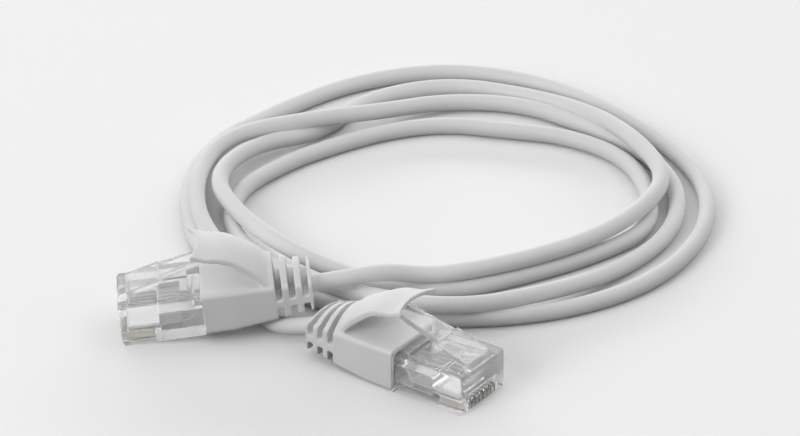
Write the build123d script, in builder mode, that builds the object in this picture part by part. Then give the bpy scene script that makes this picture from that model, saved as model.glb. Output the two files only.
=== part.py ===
"""Folded patch cable: a slim round network cord laid in four loose turns, with a clear
eight-way modular plug and a moulded snagless boot on each end.

Millimetres. +Z is up and the cord lies on Z = 0. The origin is under the middle of the box
that holds the two plugs, and the coil lies behind them, towards +Y.
Each plug is modelled once in its own frame (nose at X = 0, tail towards -X, latch side +Z)
and every finished piece is then placed for both plugs.
"""
import os
from math import cos, pi, radians, sin, tan

from build123d import *

os.makedirs("parts", exist_ok=True)

# ---------------------------------------------------------------- driving dimensions
CABLE_DIAMETER = 2.8
CABLE_RADIUS = CABLE_DIAMETER / 2

# Plug body (the standard 8P8C plug)
BODY_WIDTH = 11.68
BODY_HEIGHT = 6.6
BODY_LENGTH = 21.46
NOSE_LENGTH = 13.2          # the clear part that shows ahead of the boot
TANG_WIDTH = 9.8            # the narrower rear part that the boot grips
TANG_HEIGHT = 5.0
TANG_FLOOR = 0.8
ROOF_RECESS_WIDTH = 8.2     # the channel under the latch
ROOF_RECESS_DEPTH = 1.0
ROOF_RECESS = (-11.2, -1.6)
CABLE_AXIS_HEIGHT = 3.4     # height of the cord's axis inside the plug
POCKET_WIDTH = 6.2
POCKET_HEIGHT = 3.9
POCKET_FRONT = -11.9

# Contacts and wires
CONTACT_COUNT = 8
CONTACT_PITCH = 1.02
CONTACT_THICKNESS = 0.36
SLOT_WIDTH = 0.56
SLOT_LENGTH = 5.2
SLOT_HEIGHT = 1.75
WIRE_RADIUS = 0.25
WIRE_HEIGHT = 2.2
WIRE_CHANNEL_HEIGHT = 1.0
WIRE_CHANNEL_WIDTH = 8.3
WIRE_END = -1.3             # cut ends of the wires, near the nose
WIRE_FAN_START = -10.6
WIRE_BUNDLE_PITCH = 0.68
JACKET_FRONT = -15.6        # where the cord's jacket is stripped

# Load bar, the comb that holds the wires in line
LOAD_BAR_FRONT = -6.2
LOAD_BAR_LENGTH = 3.6
LOAD_BAR_WIDTH = 8.4
LOAD_BAR_HEIGHT = 2.7
FAN_ROOM_REAR = -13.4       # the room where the wires fan out behind the load bar
FAN_ROOM_WIDTH = 8.7
FAN_ROOM_FLOOR = 1.2
FAN_ROOM_HEIGHT = 3.2

# Latch
LATCH_WIDTH = 6.4
LATCH_SHOULDER = -7.0
LEVER_WIDTH = 4.4           # at the shoulder
LEVER_TIP_WIDTH = 3.6
LEVER_TIP = -16.2
LATCH_TOP = 12.0

BOOT_TAIL = -30.6

# Boot: sections of the sleeve and its tail (x, width, floor, top), nose side first
BOOT_SECTIONS = [(-13.2, 12.0, 0.0, 7.0), (-18.0, 12.0, 0.05, 7.0), (-24.4, 11.0, 0.6, 6.6),
                 (-30.6, 9.5, 1.1, 5.9)]
BOOT_CORNER_RADIUS = 0.7
RAMP_SECTIONS = [(-24.4, 5.3, 9.3), (-30.6, 4.55, 6.5)]     # x, half width, crown height
RAMP_SIDE_TOPS = (6.1, 5.4)
SLIT_POSITIONS = (-25.4, -27.5, -29.6)
SLIT_WIDTH = 1.05
SLIT_CORE_RADIUS = 1.75
SPINE_TOP = 4.0             # the slits leave a spine along each side
SPINE_FLOOR = 2.7
# Hood over the latch: x, half width, side top, crown top, side underside, crown underside
HOOD_SECTIONS = [(-25.0, 5.1, 6.5, 9.0, 5.3, 5.7), (-22.6, 4.9, 8.5, 10.8, 7.3, 7.9),
                 (-21.4, 4.75, 9.7, 11.5, 8.5, 9.2), (-20.2, 4.65, 10.7, 12.1, 9.5, 10.3),
                 (-18.8, 4.6, 11.7, 12.75, 10.6, 11.4), (-17.0, 4.6, 12.4, 13.25, 11.5, 12.2),
                 (-14.5, 4.7, 12.9, 13.65, 12.1, 12.8), (-11.6, 4.9, 13.3, 13.9, 12.5, 13.1)]
HOOD_TIP = -12.3
HOOD_TIP_HALF_WIDTH = 4.9
HOOD_NOTCH = 1.3            # how far the front edge is hollowed between its tips

# Where the plugs lie: nose point, heading and how far the tail is lifted
PLUG_A_NOSE = (-29.42, 9.99)
PLUG_A_YAW = 183.6
PLUG_A_PITCH = 6.8
PLUG_B_NOSE = (27.29, -12.54)
PLUG_B_YAW = -35.5
PLUG_B_PITCH = 0.0

# The coil, seen from above: turns inside one oval, listed clockwise from the left
COIL_CENTRE = (22.43, 51.89)
COIL_HALF_LENGTH = 42.5
COIL_HALF_WIDTH = 41.0
# For each turn: (how far in from the oval, height of the cord's axis) every 22.5 degrees
COIL_TURNS = [
    [(-0.6, 1.4), (-0.7, 1.4), (1.6, 1.4), (-0.7, 1.4), (-2.7, 1.4), (-0.7, 1.4), (2.2, 1.4), (1.8, 1.4),
     (-0.7, 1.4), (-1.8, 1.4), (-2.6, 1.4), (-2.0, 1.4), (-1.1, 1.4), (-0.6, 1.4), (-0.7, 1.4), (-1.0, 3.3)],
    [(0.6, 4.2), (2.4, 4.2), (11.8, 4.2), (13.8, 3.1), (9.4, 1.6), (7.8, 1.4), (8.9, 1.4), (6.4, 1.4),
     (4.3, 1.4), (3.4, 1.4), (3.9, 1.4), (1.3, 3.4), (-2.4, 4.2), (0.2, 4.1), (2.8, 1.9), (3.9, 1.4)],
    [(7.2, 1.4), (13.7, 1.4), (17.3, 1.4), (17.8, 1.4), (17.4, 1.4), (17.8, 1.4), (13.8, 1.4), (10.4, 1.4),
     (9.4, 1.4), (7.2, 1.4), (10.4, 1.4), (10.9, 1.4), (7.9, 1.4), (7.2, 2.2), (7.4, 3.2), (5.9, 4.1)],
    [(3.5, 4.2), (7.2, 3.3), (12.2, 1.4), (5.7, 1.4), (2.8, 1.4), (4.9, 1.6), (7.3, 3.3), (8.2, 4.2),
     (6.4, 4.1), (9.3, 4.2), (11.0, 4.2), (11.3, 4.2)],
]
STATION_STEP = 22.5
BERTH_CLEARANCE = 0.05      # beside lead B where it runs into the outer turn
BERTH_FLARE = 0.42
UPPER_TIER_START = -22      # degrees clockwise from the left, where turns begin to lie on turns

# The loose ends of the cord, from each plug's tail to the coil
LEAD_A = [(-0.3, 11.7, 6.95), (5.9, 13.0, 7.3), (12.2, 16.4, 6.6), (17.9, 19.3, 4.2), (23.8, 20.2, 4.2)]
LEAD_B = [(3.1, 5.07, 3.58), (-2.1, 6.2, 2.2), (-6.6, 9.4, 1.4), (-8.0, 14.9, 1.4), (-12.0, 23.8, 1.4),
          (-18.3, 33.6, 1.4), (-19.7, 41.7, 1.4)]


# ---------------------------------------------------------------- helpers
def plug_place(nose, yaw, pitch):
    """Where a plug lies: turned about +Z by yaw, with its tail lifted by pitch."""
    return Location((*nose, 0), (0, 0, 1), yaw) * Location((0, 0, 0), (0, 1, 0), pitch)


PLUG_PLACES = {
    "a": plug_place(PLUG_A_NOSE, PLUG_A_YAW, PLUG_A_PITCH),
    "b": plug_place(PLUG_B_NOSE, PLUG_B_YAW, PLUG_B_PITCH),
}


def place_on_plugs(piece, name):
    """Write one finished piece at its place in both plugs."""
    for plug, place in PLUG_PLACES.items():
        placed = piece.part.moved(place)
        placed.label = f"plug_{plug}_{name}"
        export_step(placed, f"parts/{placed.label}.step")


def middle(low, high):
    return (low + high) / 2


contact_offsets = [(i - (CONTACT_COUNT - 1) / 2) * CONTACT_PITCH for i in range(CONTACT_COUNT)]

# ---------------------------------------------------------------- plug housing
latch_profile = [(-0.15, 6.2), (-0.15, 7.1), (-0.5, 7.6), (-1.2, 7.85), (-6.9, 9.35), (-7.0, 9.75),
                 (LEVER_TIP, 11.85), (LEVER_TIP, 10.95), (LATCH_SHOULDER, 8.6), (-2.4, 7.25),
                 (-1.7, 6.9), (-1.5, 6.2)]

with BuildPart() as latch:
    with BuildSketch(Plane.XZ.offset(-LATCH_WIDTH / 2)):
        with BuildLine():
            Polyline(*latch_profile, close=True)
        make_face()
    extrude(amount=LATCH_WIDTH)
    # seen from above: wide up to its locking shoulder, then a tapered lever
    with BuildSketch(Plane.XY.offset(BODY_HEIGHT - 1.0)):
        with BuildLine():
            Polyline((0, LATCH_WIDTH / 2), (LATCH_SHOULDER, LATCH_WIDTH / 2),
                     (LATCH_SHOULDER, LEVER_WIDTH / 2), (LEVER_TIP, LEVER_TIP_WIDTH / 2),
                     (LEVER_TIP, -LEVER_TIP_WIDTH / 2), (LATCH_SHOULDER, -LEVER_WIDTH / 2),
                     (LATCH_SHOULDER, -LATCH_WIDTH / 2), (0, -LATCH_WIDTH / 2), close=True)
        make_face()
    extrude(amount=LATCH_TOP, mode=Mode.INTERSECT)

with BuildPart() as housing:
    with BuildSketch(Plane.YZ.offset(-NOSE_LENGTH)):
        with Locations((0, BODY_HEIGHT / 2)):
            Rectangle(BODY_WIDTH, BODY_HEIGHT)
    extrude(amount=NOSE_LENGTH)
    nose_edges = housing.faces().sort_by(Axis.X)[-1].edges()
    chamfer(nose_edges, length=0.35)
    with BuildSketch(Plane.YZ.offset(-BODY_LENGTH)):
        with Locations((0, TANG_FLOOR + TANG_HEIGHT / 2)):
            Rectangle(TANG_WIDTH, TANG_HEIGHT)
    extrude(amount=BODY_LENGTH - NOSE_LENGTH)
    # the channel in the roof, under the latch
    with BuildSketch(Plane.XY.offset(BODY_HEIGHT)):
        with Locations((middle(*ROOF_RECESS), 0)):
            Rectangle(ROOF_RECESS[1] - ROOF_RECESS[0], ROOF_RECESS_WIDTH)
    extrude(amount=-ROOF_RECESS_DEPTH, mode=Mode.SUBTRACT)
    # the pocket for the jacket and the flat channel for the wires
    with BuildSketch(Plane.YZ.offset(-BODY_LENGTH)):
        with Locations((0, CABLE_AXIS_HEIGHT)):
            Rectangle(POCKET_WIDTH, POCKET_HEIGHT)
    extrude(amount=BODY_LENGTH + POCKET_FRONT, mode=Mode.SUBTRACT)
    with BuildSketch(Plane.YZ.offset(WIRE_FAN_START - 4.0)):
        with Locations((0, WIRE_HEIGHT)):
            Rectangle(WIRE_CHANNEL_WIDTH, WIRE_CHANNEL_HEIGHT)
    extrude(amount=WIRE_END + 0.3 - WIRE_FAN_START + 4.0, mode=Mode.SUBTRACT)
    with BuildSketch(Plane.YZ.offset(FAN_ROOM_REAR)):
        with Locations((0, FAN_ROOM_HEIGHT / 2 + FAN_ROOM_FLOOR)):
            Rectangle(FAN_ROOM_WIDTH, FAN_ROOM_HEIGHT)
    extrude(amount=LOAD_BAR_FRONT - FAN_ROOM_REAR, mode=Mode.SUBTRACT)
    # the comb of contact slots, open at the bottom and at the nose
    with BuildSketch(Plane.XY):
        with Locations(*[(-SLOT_LENGTH / 2, y) for y in contact_offsets]):
            Rectangle(SLOT_LENGTH, SLOT_WIDTH)
    extrude(amount=SLOT_HEIGHT, mode=Mode.SUBTRACT)
    add(latch.part)
place_on_plugs(housing, "housing")

# ---------------------------------------------------------------- load bar
with BuildPart() as load_bar:
    with BuildSketch(Plane.YZ.offset(LOAD_BAR_FRONT - LOAD_BAR_LENGTH)) as comb:
        with Locations((0, FAN_ROOM_FLOOR + 0.1 + LOAD_BAR_HEIGHT / 2)):
            Rectangle(LOAD_BAR_WIDTH, LOAD_BAR_HEIGHT)
        with Locations(*[(y, WIRE_HEIGHT) for y in contact_offsets]):
            Circle(WIRE_RADIUS + 0.02, mode=Mode.SUBTRACT)
    extrude(amount=LOAD_BAR_LENGTH)
place_on_plugs(load_bar, "load_bar")

# ---------------------------------------------------------------- contacts and wires
for number, offset_y in enumerate(contact_offsets, start=1):
    with BuildPart() as contact:
        with BuildSketch(Plane.XZ.offset(-offset_y - CONTACT_THICKNESS / 2)):
            with BuildLine():
                Polyline((-4.9, 0.35), (-1.1, 0.35), (-0.45, 0.95), (-0.45, 1.65), (-1.7, 1.65),
                         (-1.9, 2.35), (-2.1, 1.65), (-3.5, 1.65), (-3.7, 2.35), (-3.9, 1.65),
                         (-4.9, 1.65), close=True)
            make_face()
        extrude(amount=CONTACT_THICKNESS)
        foot = contact.edges().filter_by(Axis.Y).sort_by(Axis.Z)[:2]
        fillet(foot, radius=0.25)
    place_on_plugs(contact, f"contact_{number}")

    # two layers of four wires leave the jacket and fan out into one row
    lane = (number - 1) // 2
    bundle_y = (lane - 1.5) * WIRE_BUNDLE_PITCH
    bundle_z = CABLE_AXIS_HEIGHT + (WIRE_BUNDLE_PITCH / 2 if number % 2 else -WIRE_BUNDLE_PITCH / 2)
    with BuildPart() as wire:
        with BuildLine() as wire_path:
            FilletPolyline(
                (WIRE_END, offset_y, WIRE_HEIGHT),
                (WIRE_FAN_START, offset_y, WIRE_HEIGHT),
                (WIRE_FAN_START - 3.4, bundle_y, bundle_z),
                (JACKET_FRONT, bundle_y, bundle_z),
                radius=1.0,
            )
        with BuildSketch(Plane((WIRE_END, offset_y, WIRE_HEIGHT), x_dir=(0, 1, 0), z_dir=(-1, 0, 0))):
            Circle(WIRE_RADIUS)
        sweep()
        # the contact's two prongs pierce the wire
        with BuildSketch(Plane.XZ.offset(-offset_y - CONTACT_THICKNESS / 2)):
            with BuildLine():
                Polyline((-1.7, 1.65), (-1.9, 2.35), (-2.1, 1.65), close=True)
            make_face()
            with BuildLine():
                Polyline((-3.5, 1.65), (-3.7, 2.35), (-3.9, 1.65), close=True)
            make_face()
        extrude(amount=CONTACT_THICKNESS, mode=Mode.SUBTRACT)
    place_on_plugs(wire, f"wire_{number}")

# ---------------------------------------------------------------- the jacket's end in the plug
with BuildPart() as jacket_end:
    with BuildSketch(Plane.YZ.offset(BOOT_TAIL)):
        with Locations((0, CABLE_AXIS_HEIGHT)):
            Circle(CABLE_RADIUS)
    extrude(amount=JACKET_FRONT - BOOT_TAIL)
place_on_plugs(jacket_end, "jacket_end")

# ---------------------------------------------------------------- boot
def arch(half_width, side, crown):
    """An arc over the plug from side to side."""
    ThreePointArc((-half_width, side), (0, crown), (half_width, side))


with BuildPart() as hood:
    for x, half_width, side_top, crown_top, side_under, crown_under in HOOD_SECTIONS:
        with BuildSketch(Plane.YZ.offset(x)):
            with BuildLine():
                arch(half_width, side_top, crown_top)
                Line((half_width, side_top), (half_width, side_under))
                arch(half_width, side_under, crown_under)
                Line((-half_width, side_under), (-half_width, side_top))
            make_face()
    loft()
    # the front edge, hollowed between two tips
    with BuildSketch(Plane.XY):
        with BuildLine():
            ThreePointArc((HOOD_TIP, HOOD_TIP_HALF_WIDTH), (HOOD_TIP - HOOD_NOTCH, 0),
                          (HOOD_TIP, -HOOD_TIP_HALF_WIDTH))
            Polyline((HOOD_TIP, -HOOD_TIP_HALF_WIDTH), (HOOD_TIP, -8), (0, -8), (0, 8), (HOOD_TIP, 8),
                     (HOOD_TIP, HOOD_TIP_HALF_WIDTH))
        make_face()
    extrude(amount=20, mode=Mode.SUBTRACT)

with BuildPart() as ramp:
    for (x, half_width, crown), side_top in zip(RAMP_SECTIONS, RAMP_SIDE_TOPS):
        with BuildSketch(Plane.YZ.offset(x)):
            with BuildLine():
                arch(half_width, side_top, crown)
                Polyline((half_width, side_top), (half_width, 4), (-half_width, 4), (-half_width, side_top))
            make_face()
    loft(ruled=True)

with BuildPart() as boot:
    for nose_end, tail_end in zip(BOOT_SECTIONS, BOOT_SECTIONS[1:]):
        for x, width, floor, top in (nose_end, tail_end):
            with BuildSketch(Plane.YZ.offset(x)):
                with Locations((0, middle(floor, top))):
                    RectangleRounded(width, top - floor, BOOT_CORNER_RADIUS)
        loft(ruled=True)
    add(ramp.part)
    add(hood.part)
    # the socket for the plug's tang, the bore for the cord
    with BuildSketch(Plane.YZ.offset(-BODY_LENGTH)):
        with Locations((0, TANG_FLOOR + TANG_HEIGHT / 2)):
            Rectangle(TANG_WIDTH, TANG_HEIGHT)
    extrude(amount=BODY_LENGTH - NOSE_LENGTH, mode=Mode.SUBTRACT)
    with BuildSketch(Plane.YZ.offset(BOOT_TAIL)):
        with Locations((0, CABLE_AXIS_HEIGHT)):
            Circle(CABLE_RADIUS)
    extrude(amount=-BODY_LENGTH - BOOT_TAIL, mode=Mode.SUBTRACT)
    # slits over the top and under the floor, with a spine left along each side
    for slit_x in SLIT_POSITIONS:
        with BuildSketch(Plane.YZ.offset(slit_x - SLIT_WIDTH / 2)):
            with Locations((0, middle(SPINE_TOP, 10.0))):
                Rectangle(14.0, 10.0 - SPINE_TOP)
            with Locations((0, middle(0.0, SPINE_FLOOR))):
                Rectangle(14.0, SPINE_FLOOR)
            with Locations((0, CABLE_AXIS_HEIGHT)):
                Circle(SLIT_CORE_RADIUS, mode=Mode.SUBTRACT)
        extrude(amount=SLIT_WIDTH, mode=Mode.SUBTRACT)
place_on_plugs(boot, "boot")

# ---------------------------------------------------------------- coil
def coil_point(angle, inset):
    """A point on the floor plan, clockwise from the left, inset from the coil's oval."""
    return (COIL_CENTRE[0] - (COIL_HALF_LENGTH - inset) * cos(radians(angle)),
            COIL_CENTRE[1] + (COIL_HALF_WIDTH - inset) * sin(radians(angle)))


station_count = int(360 / STATION_STEP)
insets = [[turn[i][0] for turn in COIL_TURNS if i < len(turn)] for i in range(station_count)]
outer_edge = [coil_point(i * STATION_STEP, min(row) - CABLE_RADIUS) for i, row in enumerate(insets)]
inner_edge = [coil_point(i * STATION_STEP, max(row) + CABLE_RADIUS) for i, row in enumerate(insets)]


def inward(points):
    """Square to the last run of a lead, on the floor plan and towards the coil's middle."""
    run = Vector(*points[-1]) - Vector(*points[-2])
    side = Vector(run.Y, -run.X).normalized()
    return side if side.dot(Vector(*COIL_CENTRE) - Vector(*points[-1])) > 0 else side * -1


def beside(point, direction, distance):
    """A floor point beside a route point."""
    return Vector(*point[:2]) + direction * distance


# No upper tier under plug A's tail: it ends square to lead A
tier_gap = [beside(LEAD_A[-1], inward(LEAD_A), 20), beside(LEAD_A[-1], inward(LEAD_A), -20),
            coil_point(315, -25), coil_point(UPPER_TIER_START, -20), coil_point(UPPER_TIER_START, 25)]
# The berth where lead B joins the outer turn, square to its end and clear of its last runs
berth = [beside(LEAD_B[-1], inward(LEAD_B), CABLE_RADIUS + BERTH_CLEARANCE),
         beside(LEAD_B[-1], inward(LEAD_B), -10), beside(LEAD_B[-4], inward(LEAD_B), -10)]
berth += [beside(point, inward(LEAD_B), CABLE_RADIUS + BERTH_FLARE) for point in LEAD_B[-4:-1]]

with BuildPart() as coil:
    with BuildSketch(Plane.XY) as footprint:
        with BuildLine():
            Spline(*outer_edge, periodic=True)
        make_face()
        with BuildLine():
            Spline(*inner_edge, periodic=True)
        make_face(mode=Mode.SUBTRACT)
    extrude(amount=CABLE_DIAMETER)
    # the turns that lie on other turns
    with BuildSketch(Plane.XY.offset(CABLE_DIAMETER)):
        add(footprint.sketch)
        with BuildLine():
            Polyline(*tier_gap, close=True)
        make_face(mode=Mode.SUBTRACT)
    extrude(amount=CABLE_DIAMETER)
    # the berth where lead B joins the outer turn
    with BuildSketch(Plane.XY):
        with BuildLine():
            Polyline(*berth, close=True)
        make_face()
    extrude(amount=2 * CABLE_DIAMETER, mode=Mode.SUBTRACT)
coil.part.label = "cable_coil"
export_step(coil.part, "parts/cable_coil.step")


# ---------------------------------------------------------------- loose ends
def corner_radii(points):
    """One arc per corner, as large as its two runs allow."""
    radii = []
    for before, corner, after in zip(points, points[1:], points[2:]):
        into = Vector(*corner) - Vector(*before)
        out = Vector(*after) - Vector(*corner)
        half_turn = radians(into.get_angle(out)) / 2
        radii.append(0.45 * min(into.length, out.length) / tan(half_turn))
    return radii


def lead_tube(points, plug, label):
    """A tube along straight runs joined by tangent arcs, cut off square at the plug's tail."""
    radii = corner_radii(points)
    start = Plane(points[0], z_dir=Vector(*points[1]) - Vector(*points[0]))
    tail = Plane(PLUG_PLACES[plug] * Location((BOOT_TAIL, 0, CABLE_AXIS_HEIGHT), (0, 1, 0), -90))
    with BuildPart() as lead:
        with BuildLine() as route:
            FilletPolyline(*points, radius=radii)
        with BuildSketch(start):
            Circle(CABLE_RADIUS)
        sweep()
        split(bisect_by=tail, keep=Keep.TOP)
    lead.part.label = label
    export_step(lead.part, f"parts/{label}.step")
    cut = (Vector(*points[0]) - tail.origin).length
    length = sum(edge.length for edge in route.edges()) - cut
    section = pi * CABLE_RADIUS ** 2
    print(label, "radii", [round(r, 1) for r in radii], "length", round(length, 1),
          "volume", round(lead.part.volume, 2), "section x length", round(section * length, 2))


lead_tube(LEAD_A, "a", "cable_lead_a")
lead_tube(LEAD_B, "b", "cable_lead_b")
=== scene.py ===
"""Looks for the folded patch cable: one round white cord laid in four loose turns, with a clear modular
plug and a moulded white boot on each end, on a pale floor."""
from math import cos, pi, radians, sin

import bpy
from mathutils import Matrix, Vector


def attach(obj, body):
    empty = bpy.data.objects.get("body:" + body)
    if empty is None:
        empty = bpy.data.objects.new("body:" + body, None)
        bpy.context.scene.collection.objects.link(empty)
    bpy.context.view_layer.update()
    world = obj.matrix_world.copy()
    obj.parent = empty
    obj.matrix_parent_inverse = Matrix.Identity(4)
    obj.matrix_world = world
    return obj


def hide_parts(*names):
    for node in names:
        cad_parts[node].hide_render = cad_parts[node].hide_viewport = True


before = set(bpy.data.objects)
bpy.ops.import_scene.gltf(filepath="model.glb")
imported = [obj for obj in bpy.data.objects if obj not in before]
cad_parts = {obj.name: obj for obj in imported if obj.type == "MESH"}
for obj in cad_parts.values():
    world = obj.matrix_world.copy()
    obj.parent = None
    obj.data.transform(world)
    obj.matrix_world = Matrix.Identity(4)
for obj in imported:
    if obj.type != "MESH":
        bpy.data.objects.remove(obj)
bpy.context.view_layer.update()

MM = 0.001

# ---------------------------------------------------------------- dimensions, as in part.py
CABLE_DIAMETER = 2.8 * MM
CABLE_RADIUS = CABLE_DIAMETER / 2

# The coil, in mm and degrees
COIL_CENTRE = (22.43, 51.89)
COIL_HALF_LENGTH = 42.5
COIL_HALF_WIDTH = 41.0
STATION_STEP = 22.5
# For each turn, (how far in from the oval, height of the cord's axis) at every station,
# clockwise from the left
COIL_TURNS = [
    [(-0.6, 1.4), (-0.7, 1.4), (1.6, 1.4), (-0.7, 1.4), (-2.7, 1.4), (-0.7, 1.4), (2.2, 1.4), (1.8, 1.4),
     (-0.7, 1.4), (-1.8, 1.4), (-2.6, 1.4), (-2.0, 1.4), (-1.1, 1.4), (-0.6, 1.4), (-0.7, 1.4), (-1.0, 3.3)],
    [(0.6, 4.2), (2.4, 4.2), (11.8, 4.2), (13.8, 3.1), (9.4, 1.6), (7.8, 1.4), (8.9, 1.4), (6.4, 1.4),
     (4.3, 1.4), (3.4, 1.4), (3.9, 1.4), (1.3, 3.4), (-2.4, 4.2), (0.2, 4.1), (2.8, 1.9), (3.9, 1.4)],
    [(7.2, 1.4), (13.7, 1.4), (17.3, 1.4), (17.8, 1.4), (17.4, 1.4), (17.8, 1.4), (13.8, 1.4), (10.4, 1.4),
     (9.4, 1.4), (7.2, 1.4), (10.4, 1.4), (10.9, 1.4), (7.9, 1.4), (7.2, 2.2), (7.4, 3.2), (5.9, 4.1)],
    [(3.5, 4.2), (7.2, 3.3), (12.2, 1.4), (5.7, 1.4), (2.8, 1.4), (4.9, 1.6), (7.3, 3.3), (8.2, 4.2),
     (6.4, 4.1), (9.3, 4.2), (11.0, 4.2), (11.3, 4.2)],
]

# The loose ends, from each plug's tail to the coil, in metres
LEAD_A = [(-0.0003, 0.0117, 0.00695), (0.0059, 0.0130, 0.0073), (0.0122, 0.0164, 0.0066),
          (0.0179, 0.0193, 0.0042), (0.0238, 0.0202, 0.0042)]
LEAD_B = [(0.0031, 0.00507, 0.00358), (-0.0021, 0.0062, 0.0022), (-0.0066, 0.0094, 0.0014),
          (-0.0080, 0.0149, 0.0014), (-0.0120, 0.0238, 0.0014), (-0.0183, 0.0336, 0.0014),
          (-0.0197, 0.0417, 0.0014)]


# ---------------------------------------------------------------- camera
AIM = Vector((0.01443, 0.04559, 0.0))
CAMERA_DISTANCE = 0.9
CAMERA_ELEVATION = radians(29.11)
CAMERA_LENS = 247.5
CAMERA_SENSOR = 36.0
camera_data = bpy.data.cameras.new("camera")
camera_data.lens = CAMERA_LENS
camera_data.sensor_width = CAMERA_SENSOR
camera_data.clip_start = 0.01
camera_data.clip_end = 50
camera = bpy.data.objects.new("camera", camera_data)
bpy.context.collection.objects.link(camera)
camera.location = AIM + CAMERA_DISTANCE * Vector((0, -cos(CAMERA_ELEVATION), sin(CAMERA_ELEVATION)))
camera.rotation_euler = (pi / 2 - CAMERA_ELEVATION, 0, 0)
bpy.context.scene.camera = camera


# ---------------------------------------------------------------- the cord's route
def station_point(station, inset, height):
    """A coil point at one of the stations, clockwise from the left."""
    angle = radians(station * STATION_STEP)
    return ((COIL_CENTRE[0] - (COIL_HALF_LENGTH - inset) * cos(angle)) * MM,
            (COIL_CENTRE[1] + (COIL_HALF_WIDTH - inset) * sin(angle)) * MM,
            height * MM)


stations = [station for turn in COIL_TURNS for station in turn]
coil_route = [station_point(i, *station) for i, station in enumerate(stations)]
route = LEAD_B + coil_route + LEAD_A[::-1]

cord_curve = bpy.data.curves.new("cord", "CURVE")
cord_curve.dimensions = "3D"
spline = cord_curve.splines.new("NURBS")
spline.points.add(len(route) - 1)
for point, place in zip(spline.points, route):
    point.co = (*place, 1.0)
    point.radius = CABLE_RADIUS
spline.order_u = 3
spline.use_endpoint_u = True
spline.resolution_u = 12
cord_curve.bevel_depth = 1.0
cord_curve.bevel_resolution = 6
cord = bpy.data.objects.new("cord", cord_curve)
bpy.context.collection.objects.link(cord)
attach(cord, "root")
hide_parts("cable_coil", "cable_lead_a", "cable_lead_b")


# ---------------------------------------------------------------- moulded pieces with soft edges
# The voxel size sets how fine the copy is, and each smoothing pass rounds its edges a little more
EDGE_VOXEL = 0.15 * MM
BOOT_SMOOTHING = 6
HOUSING_SMOOTHING = 2


def moulded(node, passes):
    """A copy of a CAD node whose edges are rounded as its mould leaves them."""
    rough = bpy.data.objects.new(node + "_rough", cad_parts[node].data.copy())
    bpy.context.collection.objects.link(rough)
    even = rough.modifiers.new("even", "REMESH")
    even.mode = "VOXEL"
    even.voxel_size = EDGE_VOXEL
    soften = rough.modifiers.new("soften", "SMOOTH")
    soften.factor = 0.5
    soften.iterations = passes
    finished = rough.evaluated_get(bpy.context.evaluated_depsgraph_get())
    mesh = bpy.data.meshes.new_from_object(finished)
    bpy.data.objects.remove(rough)
    mesh.polygons.foreach_set("use_smooth", [True] * len(mesh.polygons))
    piece = bpy.data.objects.new(node + "_moulded", mesh)
    bpy.context.collection.objects.link(piece)
    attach(piece, "root")
    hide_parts(node)
    return piece


boots = [moulded(f"plug_{plug}_boot", BOOT_SMOOTHING) for plug in "ab"]
housings = [moulded(f"plug_{plug}_housing", HOUSING_SMOOTHING) for plug in "ab"]


# ---------------------------------------------------------------- materials
def material(name):
    made = bpy.data.materials.new(name)
    made.use_nodes = True
    return made, made.node_tree.nodes, made.node_tree.links, made.node_tree.nodes["Principled BSDF"]


def noise(nodes, links, scale):
    """Noise fixed to the object."""
    place = nodes.new("ShaderNodeTexCoord")
    made = nodes.new("ShaderNodeTexNoise")
    made.inputs["Scale"].default_value = scale
    links.new(place.outputs["Object"], made.inputs["Vector"])
    return made


def vary_roughness(nodes, links, shader, pattern, low, high):
    spread = nodes.new("ShaderNodeMapRange")
    spread.inputs["To Min"].default_value = low
    spread.inputs["To Max"].default_value = high
    links.new(pattern.outputs["Fac"], spread.inputs["Value"])
    links.new(spread.outputs["Result"], shader.inputs["Roughness"])


def emboss(nodes, links, shader, pattern, strength, depth):
    relief = nodes.new("ShaderNodeBump")
    relief.inputs["Strength"].default_value = strength
    relief.inputs["Distance"].default_value = depth
    links.new(pattern.outputs["Fac"], relief.inputs["Height"])
    links.new(relief.outputs["Normal"], shader.inputs["Normal"])


GRAIN_DETAIL = 4
GRAINS_PER_CLOUD = 14
CLOUD_SPREAD = 0.03
PLASTIC_ROUGHNESS_SPREAD = 0.06
PLASTIC_RELIEF = 0.35


def plastic(name, tone, roughness, grain_scale, depth):
    """Matt moulded plastic: fine grain in its bump and roughness, faint cloudiness in its colour."""
    made, nodes, links, shader = material(name)
    grain = noise(nodes, links, grain_scale)
    grain.inputs["Detail"].default_value = GRAIN_DETAIL
    cloud = noise(nodes, links, grain_scale / GRAINS_PER_CLOUD)
    colour = nodes.new("ShaderNodeMix")
    colour.data_type = "RGBA"
    colour.inputs["A"].default_value = (*[tone * (1 - CLOUD_SPREAD)] * 3, 1)
    colour.inputs["B"].default_value = (*[tone * (1 + CLOUD_SPREAD)] * 3, 1)
    links.new(cloud.outputs["Fac"], colour.inputs["Factor"])
    links.new(colour.outputs["Result"], shader.inputs["Base Color"])
    vary_roughness(nodes, links, shader, grain,
                   roughness - PLASTIC_ROUGHNESS_SPREAD, roughness + PLASTIC_ROUGHNESS_SPREAD)
    emboss(nodes, links, shader, grain, PLASTIC_RELIEF, depth)
    return made


CLEAR_TINT = 0.98
CLEAR_ROUGHNESS = 0.06
CLEAR_SHARE = 0.88          # of the light that passes through
CLEAR_IOR = 1.4
RIPPLE_SCALE = 450
RIPPLE_RELIEF = 0.2
RIPPLE_DEPTH = 0.02 * MM


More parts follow.
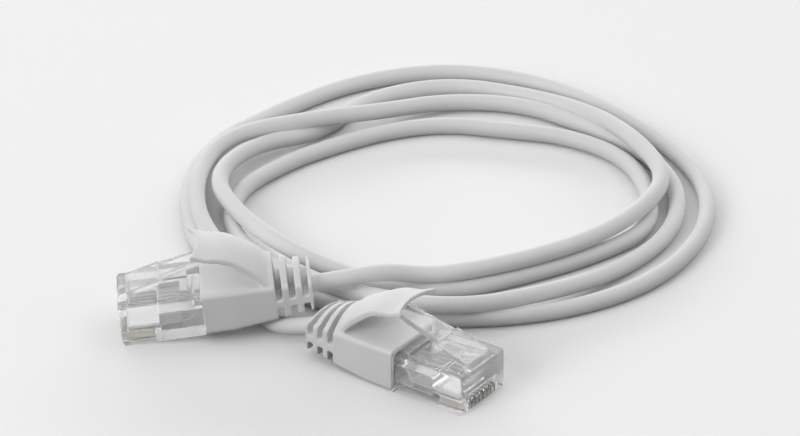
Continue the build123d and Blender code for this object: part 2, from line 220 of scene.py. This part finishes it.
def clear(name):
    """Clear plastic with faint ripples from its mould."""
    made, nodes, links, shader = material(name)
    ripple = noise(nodes, links, RIPPLE_SCALE)
    emboss(nodes, links, shader, ripple, RIPPLE_RELIEF, RIPPLE_DEPTH)
    shader.inputs["Base Color"].default_value = (CLEAR_TINT, CLEAR_TINT, CLEAR_TINT, 1)
    shader.inputs["Transmission Weight"].default_value = CLEAR_SHARE
    shader.inputs["IOR"].default_value = CLEAR_IOR
    shader.inputs["Roughness"].default_value = CLEAR_ROUGHNESS
    return made


SCRATCH_SCALE = 3000
CONTACT_COLOUR = (0.66, 0.62, 0.53)
CONTACT_ROUGHNESS = (0.22, 0.42)


def metal(name):
    """Plated metal with fine wear in its roughness."""
    made, nodes, links, shader = material(name)
    scratch = noise(nodes, links, SCRATCH_SCALE)
    vary_roughness(nodes, links, shader, scratch, *CONTACT_ROUGHNESS)
    shader.inputs["Base Color"].default_value = (*CONTACT_COLOUR, 1)
    shader.inputs["Metallic"].default_value = 1
    return made


jacket = plastic("jacket", tone=0.8, roughness=0.6, grain_scale=2500, depth=0.02 * MM)
boot_plastic = plastic("boot", tone=0.79, roughness=0.5, grain_scale=3500, depth=0.025 * MM)
clear_plastic = clear("clear_housing")
contact_metal = metal("contact")
wire_plastic = plastic("wire", tone=0.6, roughness=0.35, grain_scale=2500, depth=0.01 * MM)
NODE_MATERIALS = {"load_bar": clear_plastic, "contact": contact_metal, "wire": wire_plastic, "jacket": jacket}


def dress(obj, made):
    obj.data.materials.clear()
    obj.data.materials.append(made)


dress(cord, jacket)
for piece in boots:
    dress(piece, boot_plastic)
for piece in housings:
    dress(piece, clear_plastic)
for name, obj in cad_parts.items():
    for part, made in NODE_MATERIALS.items():
        if part in name:
            dress(obj, made)


# ---------------------------------------------------------------- floor and light
FLOOR_SIZE = 6
FLOOR_SEEN = 1.0            # the floor's tone where it is seen
FLOOR_BOUNCE = 0.35         # its tone for the light that it gives back to the object
FLOOR_ROUGHNESS = 0.9
WORLD_SEEN = 0.85
WORLD_LIGHT = 0.02
LAMP_AIM = Vector((0.02, 0.05, 0))


def seen_directly(nodes, links):
    """1 for what the camera sees straight, mirrored or through the clear parts, else 0."""
    path = nodes.new("ShaderNodeLightPath")
    total = path.outputs["Is Camera Ray"]
    for kind in ("Is Glossy Ray", "Is Transmission Ray"):
        add = nodes.new("ShaderNodeMath")
        add.operation = "ADD"
        add.use_clamp = True
        links.new(total, add.inputs[0])
        links.new(path.outputs[kind], add.inputs[1])
        total = add.outputs["Value"]
    return total


bpy.ops.mesh.primitive_plane_add(size=FLOOR_SIZE, location=(0, 0, 0))
floor = bpy.context.object
floor.name = "floor"
floor_paint, nodes, links, shader = material("floor")
paint = nodes.new("ShaderNodeMix")
paint.data_type = "RGBA"
paint.inputs["A"].default_value = (FLOOR_BOUNCE, FLOOR_BOUNCE, FLOOR_BOUNCE, 1)
paint.inputs["B"].default_value = (FLOOR_SEEN, FLOOR_SEEN, FLOOR_SEEN, 1)
links.new(seen_directly(nodes, links), paint.inputs["Factor"])
links.new(paint.outputs["Result"], shader.inputs["Base Color"])
shader.inputs["Roughness"].default_value = FLOOR_ROUGHNESS
dress(floor, floor_paint)


def lamp(name, place, width, height, watts, mirrored=True):
    """A soft rectangular light that faces the object. One that isn't mirrored leaves no bright glints."""
    data = bpy.data.lights.new(name, "AREA")
    data.shape = "RECTANGLE"
    data.size = width
    data.size_y = height
    data.energy = watts
    obj = bpy.data.objects.new(name, data)
    bpy.context.collection.objects.link(obj)
    obj.location = place
    obj.visible_transmission = mirrored
    obj.visible_glossy = mirrored
    obj.rotation_euler = (LAMP_AIM - Vector(place)).to_track_quat("-Z", "Y").to_euler()


lamp("back_strip", place=(0.0, 1.6, 0.4), width=2.6, height=0.3, watts=22, mirrored=False)
lamp("left_wall", place=(-1.3, 0.1, 0.8), width=2.6, height=1.6, watts=7)
lamp("right_wall", place=(1.3, 0.1, 0.8), width=2.6, height=1.6, watts=10)
lamp("overhead", place=(0.0, 0.3, 1.5), width=2.4, height=2.4, watts=12)
lamp("front_left", place=(-0.8, -0.75, 0.6), width=0.6, height=0.6, watts=6)

world = bpy.data.worlds.new("world")
bpy.context.scene.world = world
world.use_nodes = True
nodes, links = world.node_tree.nodes, world.node_tree.links
strength = nodes.new("ShaderNodeMapRange")
strength.inputs["To Min"].default_value = WORLD_LIGHT
strength.inputs["To Max"].default_value = WORLD_SEEN
links.new(seen_directly(nodes, links), strength.inputs["Value"])
links.new(strength.outputs["Result"], nodes["Background"].inputs["Strength"])
nodes["Background"].inputs["Color"].default_value = (1, 1, 1, 1)
bpy.context.scene.view_settings.view_transform = "Standard"

bpy.context.view_layer.update()
